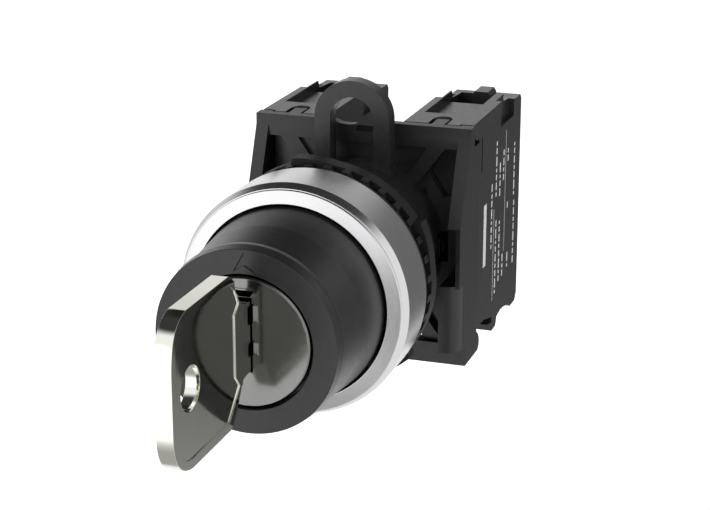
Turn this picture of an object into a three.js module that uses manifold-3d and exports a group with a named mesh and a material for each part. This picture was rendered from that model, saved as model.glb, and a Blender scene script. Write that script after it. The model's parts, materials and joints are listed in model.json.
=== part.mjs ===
// A key-operated selector switch for a round panel hole, with two contact blocks.
//
// Millimetres. X runs to the right as the operator sees the switch, Y runs from the key back
// to the contact blocks, and Z is up. The origin is on the switch's axis, in the plane of the
// bezel's rear rim. The key stands upright in the lock and the pointer is at twelve o'clock.
import * as THREE from 'three';
import { mergeVertices } from 'three/addons/utils/BufferGeometryUtils.js';
import Module from 'manifold-3d';

const wasm = await Module();
wasm.setup();

// ---------------------------------------------------------------- driving dimensions

const CLEARANCE = 0.3; // between pieces that touch or slide
const FINE = 56; // sides of the large round pieces
const ROUND = 30; // sides of the middle-sized round pieces
const COARSE = 16; // sides of screws, rods and holes

// Front element
const BEZEL_RADIUS = 15;
const BEZEL_DEPTH = 8.8;
const BEZEL_OPENING = 12.57;
const KNOB_FACE = -23.2; // y of the knob's flange face and of the lock disc
const FLANGE_RADIUS = 11.52; // at the flange's rear
const FLANGE_FACE_RADIUS = 11.33;
const FLANGE_DEPTH = 2.4;
const NECK_FRONT_RADIUS = 11.0;
const NECK_REAR_RADIUS = 12.25;
const DISC_RADIUS = 8.05;
const DISC_DEPTH = 2;
const PLUG_RADIUS = 7;
const PLUG_REAR = 4.3;
const TAIL_REAR = 7;
const TAIL_WIDTH = 5;
const SLEEVE_INNER = PLUG_RADIUS + CLEARANCE;
const SLEEVE_OUTER = 8.8;
const SLEEVE_FRONT = -19.6;
const SLEEVE_REAR = 4;
const SEAL_FRONT = -6.5; // the groove round the knob's neck for its sealing ring
const SEAL_REAR = -5;
const SEAL_BED = 11.2;

// Key
const KEY_HALF = 1; // half the bow's thickness at its rim
const BLADE_HALF = 0.8;
const BLADE_BOTTOM = -3.3;
const BLADE_TOP = 5.3;
const BLADE_TIP = 1;
const KEY_END = -46; // y of the bow's outer edge
const KEY_PANEL_DEPTH = 0.25; // of the sunk panel on each side of the bow
const BOW_HOLE_RADIUS = 2.58;

// Wafers of the lock
const WAFER_COUNT = 5;
const WAFER_FIRST = -17;
const WAFER_PITCH = 3.4;
const WAFER_THICKNESS = 0.7;
const WAFER_HALF = 2.4;
const WAFER_BOTTOM = -5.8;
const WAFER_TOP = 6.4;
const WAFER_TRAVEL = 0.9;

// Barrel, nut and seals
const THREAD_RADIUS = 11;
const THREAD_DEPTH = 0.6;
const THREAD_PITCH = 1.5;
const THREAD_END = 12.4;
const BARREL_BORE = 9.3;
const SPIGOT_RADIUS = 10.2;
const BARREL_END = 17.9;
const NUT_FRONT = 1.4;
const NUT_RIM_DEPTH = 1.6;
const NUT_BODY_END = 5.2;
const NUT_REAR = 7.2;
const NUT_RADIUS = 14.8;
const NUT_NOTCHES = 36;
const NUT_TEETH = 5;
const NUT_TOOTH_RADIUS = 15.6;

// Cam and push rods
const KEY_TURN = Math.PI / 2; // from the off position to the on position
const PUSH_TRAVEL = 3.2; // of the rods over one full turn of the key
const ROD_OFFSET = 7.4; // from the axis to each push rod
const ROD_RADIUS = 1.3;
const ROD_TIP = 8.4;
const FOOT_FRONT = 18.3;
const FOOT_REAR = 19.5;
const CAM_FRONT = 4.6;
const CAM_REAR = 7;
const CAM_RADIUS = 8.8;
const CAM_HUB_RADIUS = 4.6;
const RAMP_INNER = 6;
const GUIDE_FRONT = 12.8;
const GUIDE_REAR = 15.4;

// Mounting frame
const FRAME_HALF_WIDTH = 15.16;
const FRAME_HALF_HEIGHT = 16.45;
const FRAME_WALL = 1.76;
const FRAME_FRONT = 19.6;
const FRAME_BACK = 21;
const BAR_EDGE = 13.5; // height at which the top and bottom bars begin
const BOTTOM_BAR_FRONT = 18.6;
const WALL_REAR = 24.4;
const WALL_NOSE = 15; // y of the side walls' foremost edge
const HUB_INNER = SPIGOT_RADIUS + CLEARANCE;
const HUB_OUTER = 11.6;

// Locking slide
const SLIDE_FRONT = 15.3;
const SLIDE_REAR = 17.7;
const LOOP_RADIUS = 5.2;
const LOOP_SLOT = 3;
const LOOP_CENTRE = 17.6;
const SLIDE_BAR_BOTTOM = 10.6;
const SLIDE_BAR_TOP = 11.4;
const TOOTH_BOTTOM = 9.5;
const TOOTH_HALF = 2.6;

// Contact blocks
const BLOCK_CENTRE = 10.15; // from the axis to the middle of each block
const BLOCK_HALF = 4.78;
const BLOCK_FRONT = 21.3;
const BLOCK_SHOULDER = 24.8;
const BLOCK_REAR = 48.4;
const BLOCK_TOP = 16.45;
const RECESS_FLOOR = 15.4;
const RECESS_FRONT = 27.2;
const RECESS_REAR = 38.4;
const RECESS_LEFT = -3.65; // of the block's middle
const RECESS_RIGHT = 2.75;
const CAVITY_FRONT = 25.7;
const COVER_LAP = 0.7; // how far the cover laps over the cavity's edge
const CAVITY_REAR = 44.6;
const CAVITY_LEFT = -3.5;
const CAVITY_RIGHT = 3.4;
const CAVITY_HALF_HEIGHT = 11.6;
const TERMINAL_HEIGHT = 8.4;
const DRIVER_HOLE = 3.05;
const PLUNGER_TIP = FOOT_REAR + CLEARANCE;
const BRIDGE_Y = 29.4;
const BRIDGE_THICKNESS = 0.8;

// ---------------------------------------------------------------- materials

function plastic(color, roughness) {
  return new THREE.MeshStandardMaterial({ color, roughness, metalness: 0 });
}

function metal(color, roughness) {
  return new THREE.MeshStandardMaterial({ color, roughness, metalness: 1 });
}

const satinBlack = plastic(0x2b2b2c, 0.5);
const mattBlack = plastic(0x242425, 0.62);
const rubber = plastic(0x161616, 0.85);
const whitePlastic = plastic(0xd9d6cc, 0.45);
const aluminium = metal(0xc9cacb, 0.32);
const nickel = metal(0xc8c6bd, 0.2);
const brass = metal(0xb89a54, 0.35);
const copper = metal(0xb87850, 0.35);
const steel = metal(0xa9abad, 0.3);

// ---------------------------------------------------------------- solids

// Six times the volume that a closed triangle mesh holds, negative when its faces point in.
function signedVolume(positions, index) {
  const [a, b, c] = [new THREE.Vector3(), new THREE.Vector3(), new THREE.Vector3()];
  let sum = 0;
  for (let i = 0; i < index.length; i += 3) {
    a.fromArray(positions, index[i] * 3);
    b.fromArray(positions, index[i + 1] * 3);
    c.fromArray(positions, index[i + 2] * 3);
    sum += a.dot(b.cross(c));
  }
  return sum;
}

function toSolid(geometry) {
  const bare = geometry.clone();
  bare.deleteAttribute('normal');
  bare.deleteAttribute('uv');
  const merged = mergeVertices(bare, 1e-5);
  const positions = merged.attributes.position.array;
  const index = merged.index.array;
  const outward = signedVolume(positions, index) > 0;
  const triangles = [];
  for (let i = 0; i < index.length; i += 3) {
    const [p, q, r] = [index[i], index[i + 1], index[i + 2]];
    if (p === q || q === r || r === p) continue;
    triangles.push(p, outward ? q : r, outward ? r : q);
  }
  return new wasm.Manifold(new wasm.Mesh({
    numProp: 3,
    vertProperties: new Float32Array(positions),
    triVerts: new Uint32Array(triangles),
  }));
}

function toGeometry(solid) {
  const { vertProperties, triVerts } = solid.getMesh();
  const geometry = new THREE.BufferGeometry();
  geometry.setAttribute('position', new THREE.BufferAttribute(new Float32Array(vertProperties), 3));
  geometry.setIndex(new THREE.BufferAttribute(new Uint32Array(triVerts), 1));
  geometry.computeVertexNormals();
  return geometry;
}

function joined(...geometries) {
  return toGeometry(geometries.map(toSolid).reduce((whole, piece) => whole.add(piece)));
}

function cut(geometry, ...tools) {
  return toGeometry(tools.map(toSolid).reduce((whole, tool) => whole.subtract(tool), toSolid(geometry)));
}

function clean(geometry) {
  return toGeometry(toSolid(geometry));
}

// ---------------------------------------------------------------- basic shapes

function outline(points) {
  return new THREE.Shape(points.map(([a, b]) => new THREE.Vector2(a, b)));
}

function extrude(shape, depth, sides = ROUND) {
  return new THREE.ExtrudeGeometry(shape, { depth, bevelEnabled: false, curveSegments: sides });
}

// A shape drawn in (y, z) and carried along X.
function alongX(shape, x0, x1, sides = COARSE) {
  const axes = new THREE.Matrix4().makeBasis(
    new THREE.Vector3(0, 1, 0), new THREE.Vector3(0, 0, 1), new THREE.Vector3(1, 0, 0));
  return extrude(shape, x1 - x0, sides).applyMatrix4(axes).translate(x0, 0, 0);
}

// A shape drawn in (x, z) and carried along Y.
function alongY(shape, y0, y1, sides = COARSE) {
  return extrude(shape, y1 - y0, sides).rotateX(Math.PI / 2).translate(0, y1, 0);
}

// A shape drawn in (x, y) and carried along Z.
function alongZ(shape, z0, z1, sides = COARSE) {
  return extrude(shape, z1 - z0, sides).translate(0, 0, z0);
}

function box(x0, x1, y0, y1, z0, z1) {
  return new THREE.BoxGeometry(x1 - x0, y1 - y0, z1 - z0)
    .translate((x0 + x1) / 2, (y0 + y1) / 2, (z0 + z1) / 2);
}

function rod(radius, y0, y1, x = 0, z = 0, sides = COARSE) {
  return new THREE.CylinderGeometry(radius, radius, y1 - y0, sides).translate(x, (y0 + y1) / 2, z);
}

// A profile of [radius, y] points, turned about the switch's axis.
function turned(profile, sides = ROUND) {
  return new THREE.LatheGeometry(profile.map(([r, y]) => new THREE.Vector2(r, y)), sides);
}

function ring(inner, outer, y0, y1, sides = ROUND) {
  return turned([[inner, y0], [outer, y0], [outer, y1], [inner, y1], [inner, y0]], sides);
}

// A round wire wound about an axis along Y.
function coil(radius, wire, y0, y1, turns) {
  const path = new THREE.Curve();
  path.getPoint = (t, target = new THREE.Vector3()) => {
    const angle = 2 * Math.PI * turns * t;
    return target.set(radius * Math.cos(angle), y0 + (y1 - y0) * t, radius * Math.sin(angle));
  };
  const section = new THREE.Shape().absarc(0, 0, wire, 0, 2 * Math.PI, false);
  return clean(new THREE.ExtrudeGeometry(section, {
    steps: turns * 8, curveSegments: 3, bevelEnabled: false, extrudePath: path,
  }));
}

// ---------------------------------------------------------------- key and lock

function bowOutline() {
  const shape = new THREE.Shape();
  shape.moveTo(-30.3, 10.4);
  shape.lineTo(-41.8, 10.4);
  shape.quadraticCurveTo(-44.6, 9.9, -45.4, 7.8);
  shape.quadraticCurveTo(KEY_END, 6.2, KEY_END, 4);
  shape.lineTo(KEY_END, -2.6);
  shape.quadraticCurveTo(-45.9, -7.4, -41, -7.95);
  shape.lineTo(-30.2, -7.95);
  shape.quadraticCurveTo(-29, -7.6, -26.8, -3.9);
  shape.quadraticCurveTo(-25.6, BLADE_BOTTOM, -24.4, BLADE_BOTTOM);
  shape.lineTo(-24.4, BLADE_TOP);
  shape.quadraticCurveTo(-27.4, 6, -28.2, 8.4);
  shape.quadraticCurveTo(-28.8, 10.2, -30.3, 10.4);
  return shape;
}

function bowPanelOutline() {
  const shape = new THREE.Shape();
  shape.moveTo(-30.6, 9.3);
  shape.lineTo(-41.6, 9.3);
  shape.quadraticCurveTo(-44.8, 8.6, -45, 4);
  shape.lineTo(-45, -2.4);
  shape.quadraticCurveTo(-44.8, -6.6, -41, -6.85);
  shape.lineTo(-30.6, -6.85);
  shape.lineTo(-27.3, -3.6);
  shape.lineTo(-28.5, -2.2);
  shape.lineTo(-28.5, 5.2);
  shape.lineTo(-27.2, 6.3);
  shape.quadraticCurveTo(-28.4, 9, -30.6, 9.3);
  return shape;
}

function bowHole() {
  return new THREE.Shape().absarc(-40.9, 1.2, BOW_HOLE_RADIUS, 0, 2 * Math.PI, false);
}

function keyGeometry() {
  const bow = alongX(bowOutline(), -KEY_HALF, KEY_HALF, 8);
  const blade = alongX(outline([
    [-24.6, BLADE_BOTTOM], [-24.6, BLADE_TOP], [BLADE_TIP - 2, BLADE_TOP], [BLADE_TIP, BLADE_TOP - 2.4],
    [BLADE_TIP, BLADE_BOTTOM + 2.4], [BLADE_TIP - 2, BLADE_BOTTOM],
  ]), -BLADE_HALF, BLADE_HALF);
  const thinning = [-1, 1].map((side) => slab(side, BLADE_HALF, 3, -26.4, KNOB_FACE, -9, 11));
  const panels = [-1, 1].map((side) => {
    const [near, far] = ordered(side * (KEY_HALF - KEY_PANEL_DEPTH), side * (KEY_HALF + 1));
    return alongX(bowPanelOutline(), near, far, 8);
  });
  const hole = alongX(bowHole(), -2, 2, 10);
  return cut(joined(bow, blade), ...thinning, ...panels, hole, ...bladeGrooves());
}

// The two long grooves milled along the blade's right side.
function bladeGrooves() {
  return [[2.5, 4.7], [-1.4, 0.2]].map(([low, high]) => (
    box(BLADE_HALF - 0.35, BLADE_HALF + 1, -24.2, BLADE_TIP + 1, low, high)));
}

function keyway() {
  const half = BLADE_HALF + CLEARANCE;
  const [low, high] = [BLADE_BOTTOM - CLEARANCE, BLADE_TOP + CLEARANCE];
  const slot = box(-half, half, KNOB_FACE - 1, BLADE_TIP + 1, low, high);
  const wards = [[2.6, 4.6], [-1.3, 0.1]].map(([bottom, top]) => (
    box(half - 0.1, half + 0.5, KNOB_FACE - 1, BLADE_TIP + 1, bottom, top)));
  return [slot, ...wards];
}

function waferPlaces() {
  return Array.from({ length: WAFER_COUNT }, (_, i) => WAFER_FIRST + i * WAFER_PITCH);
}

function lockPlugGeometry() {
  const edge = 0.25;
  const body = turned([
    [0, KNOB_FACE], [DISC_RADIUS - edge, KNOB_FACE], [DISC_RADIUS, KNOB_FACE + edge],
    [DISC_RADIUS, KNOB_FACE + DISC_DEPTH], [PLUG_RADIUS, KNOB_FACE + DISC_DEPTH],
    [PLUG_RADIUS, PLUG_REAR], [0, PLUG_REAR],
  ], FINE);
  const half = TAIL_WIDTH / 2;
  const tail = box(-half, half, PLUG_REAR - 0.1, TAIL_REAR, -half, half);
  const window = alongY(outline([[-1.3, BLADE_TOP + 0.2], [1.3, BLADE_TOP + 0.2],
    [1.6, DISC_RADIUS + 1], [-1.6, DISC_RADIUS + 1]]), KNOB_FACE - 1, KNOB_FACE + 1.2);
  const slots = waferPlaces().map((y) => {
    const reach = WAFER_THICKNESS / 2 + CLEARANCE;
    return box(-WAFER_HALF - CLEARANCE, WAFER_HALF + CLEARANCE, y - reach, y + reach,
      WAFER_BOTTOM - CLEARANCE, PLUG_RADIUS + 1);
  });
  const screwHole = rod(1.7, BLADE_TIP + 0.9, TAIL_REAR + 1);
  return cut(joined(body, tail), ...keyway(), window, ...slots, screwHole);
}

function waferGeometry(y) {
  const half = WAFER_THICKNESS / 2;
  const hole = box(-BLADE_HALF - CLEARANCE, BLADE_HALF + CLEARANCE, y - 1, y + 1,
    BLADE_BOTTOM - CLEARANCE - WAFER_TRAVEL, BLADE_TOP + CLEARANCE);
  return cut(box(-WAFER_HALF, WAFER_HALF, y - half, y + half, WAFER_BOTTOM, WAFER_TOP), hole);
}

// The fixed sleeve that the wafers lock into, with a groove at each position where the key
// comes out: straight up for off, and to the right for on.
function lockSleeveGeometry() {
  const collar = 9;
  const body = turned([
    [SLEEVE_INNER, SLEEVE_FRONT], [SLEEVE_OUTER, SLEEVE_FRONT], [SLEEVE_OUTER, -1.8], [collar, -1.8],
    [collar, SLEEVE_REAR], [SLEEVE_INNER, SLEEVE_REAR], [SLEEVE_INNER, SLEEVE_FRONT],
  ]);
  const half = WAFER_HALF + 0.5;
  const depth = WAFER_TOP + WAFER_TRAVEL + 0.7;
  const up = box(-half, half, SLEEVE_FRONT + 0.8, -1, 5, depth);
  const right = box(5, depth, SLEEVE_FRONT + 0.8, -1, -half, half);
  return cut(body, up, right);
}

// ---------------------------------------------------------------- knob, bezel and seals

// The pointer is an arrowhead sunk into the flange.
function pointerRecess() {
  const arrow = outline([[0, 10.95], [1.3, 8.6], [0, 9.35], [-1.3, 8.6]]);
  return alongY(arrow, KNOB_FACE - 1, KNOB_FACE + 0.22);
}

function knobGeometry() {
  const flangeRear = KNOB_FACE + FLANGE_DEPTH;
  const recess = DISC_RADIUS + 0.29;
  const webFront = KNOB_FACE + DISC_DEPTH + CLEARANCE;
  const bore = SLEEVE_OUTER + 0.35;
  const body = turned([
    [recess, KNOB_FACE], [FLANGE_FACE_RADIUS, KNOB_FACE], [FLANGE_RADIUS, flangeRear], [NECK_FRONT_RADIUS, flangeRear], [11.75, -15],
    [NECK_REAR_RADIUS, -9.2], [NECK_REAR_RADIUS, SEAL_FRONT], [SEAL_BED, SEAL_FRONT],
    [SEAL_BED, SEAL_REAR], [NECK_REAR_RADIUS, SEAL_REAR], [NECK_REAR_RADIUS, -2.7], [bore, -2.7],
    [bore, SLEEVE_FRONT - CLEARANCE], [SLEEVE_INNER, SLEEVE_FRONT - CLEARANCE],
    [SLEEVE_INNER, webFront], [recess, webFront], [recess, KNOB_FACE],
  ], FINE);
  return cut(body, pointerRecess());
}

function bezelGeometry() {
  return clean(turned([
    [BEZEL_OPENING, -BEZEL_DEPTH], [14.28, -8.42], [14.36, -8.2], [14.46, -8.2], [14.56, -8.06],
    [BEZEL_RADIUS, -7.2], [BEZEL_RADIUS, 0], [14.6, 0], [14.6, -2.6], [BEZEL_OPENING, -2.6],
    [BEZEL_OPENING, -BEZEL_DEPTH],
  ], FINE));
}

function gasketGeometry() {
  return clean(ring(THREAD_RADIUS + CLEARANCE, 14.85, 0.2, 0.9, FINE));
}

function barrelGeometry() {
  const threadStart = 1.2;
  const profile = [
    [BARREL_BORE, -2.3], [14.3, -2.3], [14.3, -0.1], [THREAD_RADIUS, -0.1], [THREAD_RADIUS, threadStart],
  ];
  for (let y = threadStart; y + THREAD_PITCH <= THREAD_END; y += THREAD_PITCH) {
    profile.push([THREAD_RADIUS - THREAD_DEPTH, y + THREAD_PITCH / 2], [THREAD_RADIUS, y + THREAD_PITCH]);
  }
  profile.push(
    [SPIGOT_RADIUS, THREAD_END], [SPIGOT_RADIUS, BARREL_END], [BARREL_BORE, BARREL_END], profile[0]);
  const latchWindow = box(-TOOTH_HALF - CLEARANCE, TOOTH_HALF + CLEARANCE, SLIDE_FRONT - CLEARANCE,
    SLIDE_REAR + CLEARANCE, TOOTH_BOTTOM - 1.2, SPIGOT_RADIUS + 1);
  return cut(turned(profile), latchWindow);
}

function knobSealGeometry() {
  const [inner, outer] = [SEAL_BED + CLEARANCE, NECK_REAR_RADIUS];
  const middle = (SEAL_FRONT + SEAL_REAR) / 2;
  return clean(turned([
    [inner, middle], [inner + 0.3, SEAL_FRONT + CLEARANCE], [outer, middle - 0.2], [outer, middle + 0.2],
    [inner + 0.3, SEAL_REAR - CLEARANCE], [inner, middle],
  ]));
}

// ---------------------------------------------------------------- ring nut

// The front rim's outline has a row of half-round notches for a wrench.
function nutRimOutline() {
  const shape = new THREE.Shape();
  const step = (2 * Math.PI) / NUT_NOTCHES;
  const notchRadius = 0.85;
  for (let i = 0; i < NUT_NOTCHES; i += 1) {
    const middle = i * step;
    const centre = [NUT_RADIUS * Math.cos(middle), NUT_RADIUS * Math.sin(middle)];
    for (let k = 0; k <= 4; k += 1) {
      const turn = middle - Math.PI / 2 - (k * Math.PI) / 4;
      const point = [centre[0] + notchRadius * Math.cos(turn), centre[1] + notchRadius * Math.sin(turn)];
      if (i === 0 && k === 0) shape.moveTo(...point);
      else shape.lineTo(...point);
    }
  }
  return shape;
}

// Behind the rim the outline has ratchet teeth: each rises slowly and drops at once.
function nutBodyOutline() {
  const shape = new THREE.Shape();
  const steps = 16;
  for (let tooth = 0; tooth < NUT_TEETH; tooth += 1) {
    const start = Math.PI / 2 + 0.26 - (tooth * 2 * Math.PI) / NUT_TEETH;
    for (let k = 0; k < steps; k += 1) {
      const share = k / steps;
      const rise = Math.max(0, 1 - share / 0.3);
      const radius = NUT_RADIUS + (NUT_TOOTH_RADIUS - NUT_RADIUS) * rise;
      const angle = start - 0.02 - (share * 2 * Math.PI) / NUT_TEETH;
      if (tooth === 0 && k === 0) shape.moveTo(radius * Math.cos(angle), radius * Math.sin(angle));
      else shape.lineTo(radius * Math.cos(angle), radius * Math.sin(angle));
    }
  }
  return shape;
}

function ringNutGeometry() {
  const rimEnd = NUT_FRONT + NUT_RIM_DEPTH;
  const rim = alongY(nutRimOutline(), NUT_FRONT, rimEnd);
  const body = alongY(nutBodyOutline(), rimEnd, NUT_BODY_END);
  const skirt = rod(13.4, NUT_BODY_END - 0.1, NUT_REAR, 0, 0, ROUND);
  const bore = rod(THREAD_RADIUS + CLEARANCE, NUT_FRONT - 1, NUT_REAR + 1, 0, 0, FINE);
  return cut(joined(rim, body, skirt), bore);
}

// ---------------------------------------------------------------- cam and push rods

// One helical ramp on the cam's rear face. Turning the cam clockwise by an angle lifts the
// surface under a push rod by the same share of the rods' travel.
function rampGeometry(restAngle) {
  const margin = 0.21;
  const steps = 16;
  const lift = PUSH_TRAVEL / KEY_TURN;
  const restHeight = ROD_TIP - CLEARANCE - 0.36;
  const [positions, index] = [[], []];
  for (let i = 0; i <= steps; i += 1) {
    const behind = -margin + ((KEY_TURN + 2 * margin) * i) / steps;
    const angle = restAngle - behind;
    const top = restHeight + lift * behind;
    for (const [radius, y] of [[RAMP_INNER, CAM_REAR - 0.4], [CAM_RADIUS, CAM_REAR - 0.4],
      [CAM_RADIUS, top], [RAMP_INNER, top]]) {
      positions.push(radius * Math.sin(angle), y, radius * Math.cos(angle));
    }
  }
  for (let i = 0; i < steps; i += 1) {
    for (let side = 0; side < 4; side += 1) {
      const [a, b] = [i * 4 + side, i * 4 + ((side + 1) % 4)];
      index.push(a, b, b + 4, a, b + 4, a + 4);
    }
  }
  const last = steps * 4;
  index.push(0, 2, 1, 0, 3, 2, last, last + 1, last + 2, last, last + 2, last + 3);
  const geometry = new THREE.BufferGeometry();
  geometry.setAttribute('position', new THREE.Float32BufferAttribute(positions, 3));
  geometry.setIndex(index);
  return geometry;
}

function driveCamGeometry() {
  const disc = rod(CAM_RADIUS, CAM_FRONT, CAM_REAR, 0, 0, ROUND);
  const hub = rod(CAM_HUB_RADIUS, CAM_REAR - 0.1, 9.4, 0, 0, ROUND);
  const half = TAIL_WIDTH / 2 + CLEARANCE;
  const square = box(-half, half, CAM_FRONT - 1, TAIL_REAR + CLEARANCE, -half, half);
  const screwWell = rod(3, TAIL_REAR, 10, 0, 0, ROUND);
  const cam = joined(disc, hub, rampGeometry(Math.PI / 2), rampGeometry((3 * Math.PI) / 2));
  return cut(cam, square, screwWell);
}

function crossHeadScrew(radius, headY, headDepth, shankRadius, shankFront, x = 0, z = 0) {
  const head = rod(radius, headY, headY + headDepth, x, z, ROUND);
  const shank = rod(shankRadius, shankFront, headY + 0.1, x, z);
  const [long, half] = [radius * 0.7, 0.35];
  const slots = [
    box(x - long, x + long, headY + headDepth - 0.7, headY + headDepth + 1, z - half, z + half),
    box(x - half, x + half, headY + headDepth - 0.7, headY + headDepth + 1, z - long, z + long),
  ];
  return cut(joined(head, shank), ...slots);
}

function pushRodGeometry(side) {
  const shaft = rod(ROD_RADIUS, ROD_TIP, FOOT_FRONT + 0.1, side * ROD_OFFSET);
  const foot = slab(side, ROD_OFFSET - ROD_RADIUS, BLOCK_CENTRE + 1.3, FOOT_FRONT, FOOT_REAR, -1.4, 1.4);
  return joined(shaft, foot);
}

function rodGuideGeometry() {
  const disc = rod(BARREL_BORE - CLEARANCE, GUIDE_FRONT, GUIDE_REAR, 0, 0, ROUND);
  const holes = [-1, 1].map((side) => (
    rod(ROD_RADIUS + CLEARANCE, GUIDE_FRONT - 1, GUIDE_REAR + 1, side * ROD_OFFSET)));
  return cut(disc, ...holes, rod(3.4, GUIDE_FRONT - 1, GUIDE_REAR + 1));
}

// A spring clip whose two arms press on the cam's hub above and below.
function detentSpringGeometry() {
  const [inner, outer] = [CAM_HUB_RADIUS + CLEARANCE, CAM_HUB_RADIUS + CLEARANCE + 0.6];
  const [front, back] = [7.8, GUIDE_FRONT - CLEARANCE];
  return clean(alongX(outline([
    [front, inner], [front, outer], [back, outer], [back, -outer], [front, -outer], [front, -inner],
    [back - 0.6, -inner], [back - 0.6, inner],
  ]), -1.2, 1.2));
}

// ---------------------------------------------------------------- mounting frame

// A side wall seen from the side: its front edge leans forward down to mid-height, and its
// rear top corner is cut away for the shoulder of the contact block.
function wallOutline() {
  const post = WALL_NOSE + 2.4;
  return outline([
    [FRAME_FRONT, FRAME_HALF_HEIGHT], [21.5, FRAME_HALF_HEIGHT], [21.5, 13.6], [WALL_REAR, 13.6],
    [WALL_REAR, -13.4], [25.5, -14.2], [25.9, -15], [25.9, -15.8], [25.2, -FRAME_HALF_HEIGHT],
    [BOTTOM_BAR_FRONT, -FRAME_HALF_HEIGHT], [BOTTOM_BAR_FRONT, -13.6], [post, -13.6], [post, -4.2],
    [19, -4.2], [19, 3.9], [WALL_NOSE, 3.9], [FRAME_FRONT, 15],
  ]);
}

// Below the notch in each side wall the frame's front corner is a rounded post.
function postOutline(side) {
  const outer = FRAME_HALF_WIDTH;
  const shape = new THREE.Shape();
  shape.moveTo(side * 12.3, FRAME_BACK);
  shape.lineTo(side * 12.3, WALL_NOSE);
  shape.quadraticCurveTo(side * (outer - 0.3), WALL_NOSE + 0.1, side * outer, WALL_NOSE + 2.6);
  shape.lineTo(side * outer, FRAME_BACK);
  return shape;
}

function frameSide(side) {
  const outer = FRAME_HALF_WIDTH;
  const [x0, x1] = ordered(side * (outer - FRAME_WALL), side * outer);
  const wall = alongX(wallOutline(), x0, x1);
  const skin = slab(side, outer - 0.6, outer, WALL_NOSE, 19.1, -4.3, 4);
  const post = alongZ(postOutline(side), -13.6, -4.2, 6);
  const web = alongY(mirrored([
    [9.4, 10], [11.6, 6.8], [13.5, 6.8], [13.5, -12.5], [12.2, -12.5], [9.9, -9], [8.6, 0],
  ], side), FRAME_FRONT, FRAME_BACK);
  const ribs = [-1, 1].map((up) => alongY(mirrored([
    [9.2, up * 13.6], [11.7, up * 13.6], [7.6, up * 8.2], [5.4, up * 8.2],
  ], side), FRAME_FRONT, FRAME_BACK));
  const tab = slab(side, 9.3, 11, FRAME_BACK - 0.1, 24, 15.75, FRAME_HALF_HEIGHT);
  return [wall, skin, post, web, ...ribs, tab];
}

function mountingFrameGeometry() {
  const [wide, high] = [FRAME_HALF_WIDTH, FRAME_HALF_HEIGHT];
  const topBar = box(-wide, wide, FRAME_FRONT, FRAME_BACK, BAR_EDGE, high);
  const bottomBar = box(-wide, wide, BOTTOM_BAR_FRONT, FRAME_BACK, -high, -BAR_EDGE);
  const hub = ring(HUB_INNER, HUB_OUTER, 12.8, FRAME_BACK);
  const backPlate = cut(box(-9.5, 9.5, FRAME_BACK - 0.7, FRAME_BACK, 6, BAR_EDGE + 0.1),
    rod(HUB_INNER + 0.5, FRAME_FRONT, FRAME_BACK + 1, 0, 0, ROUND));
  const body = joined(topBar, bottomBar, hub, backPlate, ...frameSide(-1), ...frameSide(1));
  const slideSlot = box(-LOOP_RADIUS - CLEARANCE, LOOP_RADIUS + CLEARANCE, SLIDE_FRONT - CLEARANCE,
    SLIDE_REAR + CLEARANCE, 6, 13);
  const footSlot = box(-12.2, 12.2, FOOT_FRONT - 0.6, FRAME_BACK + 1, -2.1, 2.1);
  const scoop = alongX(outline([[FRAME_FRONT - 1, 14.6], [FRAME_BACK + 1, 15.9], [FRAME_BACK + 1, 18],
    [FRAME_FRONT - 1, 18]]), -1, 3.2);
  const dip = rod(5, FRAME_FRONT - 1, FRAME_BACK + 1, -2, 20.8, ROUND);
  return cut(body, slideSlot, footSlot, scoop, dip);
}

function lockingSlideGeometry() {
  const hoop = new THREE.Shape();
  hoop.moveTo(LOOP_RADIUS, SLIDE_BAR_TOP - 0.1);
  hoop.lineTo(LOOP_RADIUS, LOOP_CENTRE);
  hoop.absarc(0, LOOP_CENTRE, LOOP_RADIUS, 0, Math.PI, false);
  hoop.lineTo(-LOOP_RADIUS, SLIDE_BAR_TOP - 0.1);
  hoop.lineTo(-LOOP_SLOT, SLIDE_BAR_TOP - 0.1);
  hoop.lineTo(-LOOP_SLOT, LOOP_CENTRE);
  hoop.absarc(0, LOOP_CENTRE, LOOP_SLOT, Math.PI, 0, true);
  hoop.lineTo(LOOP_SLOT, SLIDE_BAR_TOP - 0.1);
  const [front, rear] = [SLIDE_FRONT, SLIDE_REAR];
  const bar = box(-LOOP_RADIUS, LOOP_RADIUS, front, rear, SLIDE_BAR_BOTTOM, SLIDE_BAR_TOP);
  const tooth = box(-TOOTH_HALF, TOOTH_HALF, front, rear, TOOTH_BOTTOM, SLIDE_BAR_BOTTOM + 0.1);
  return joined(alongY(hoop, front, rear, 18), bar, tooth);
}

// ---------------------------------------------------------------- contact blocks

// The block's side view, with the stepped top, the rear foot and the hooked front foot.
function blockOutline() {
  const shape = new THREE.Shape();
  shape.moveTo(BLOCK_SHOULDER, -13.1);
  shape.lineTo(BLOCK_SHOULDER, 13.95);
  shape.lineTo(23.6, 13.95);
  shape.quadraticCurveTo(22, 14.4, 21.9, BLOCK_TOP);
  shape.lineTo(41, BLOCK_TOP);
  shape.lineTo(41.4, 15.4);
  shape.lineTo(45.6, 15.1);
  shape.lineTo(BLOCK_REAR - 0.6, 15.1);
  shape.lineTo(BLOCK_REAR, 14.5);
  shape.lineTo(BLOCK_REAR, -15.4);
  shape.lineTo(47.5, -16.5);
  shape.lineTo(44.6, -16.5);
  shape.quadraticCurveTo(42.4, -15.2, 38.8, -15.1);
  shape.lineTo(36.7, -15.4);
  shape.lineTo(36.1, -16.6);
  shape.lineTo(33.9, -16.7);
  shape.lineTo(31.4, -15.7);
  shape.lineTo(31.4, -14.9);
  shape.lineTo(33.7, -15.3);
  shape.lineTo(33.7, -14.5);
  shape.lineTo(29.6, -13.5);
  return shape;
}

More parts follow.
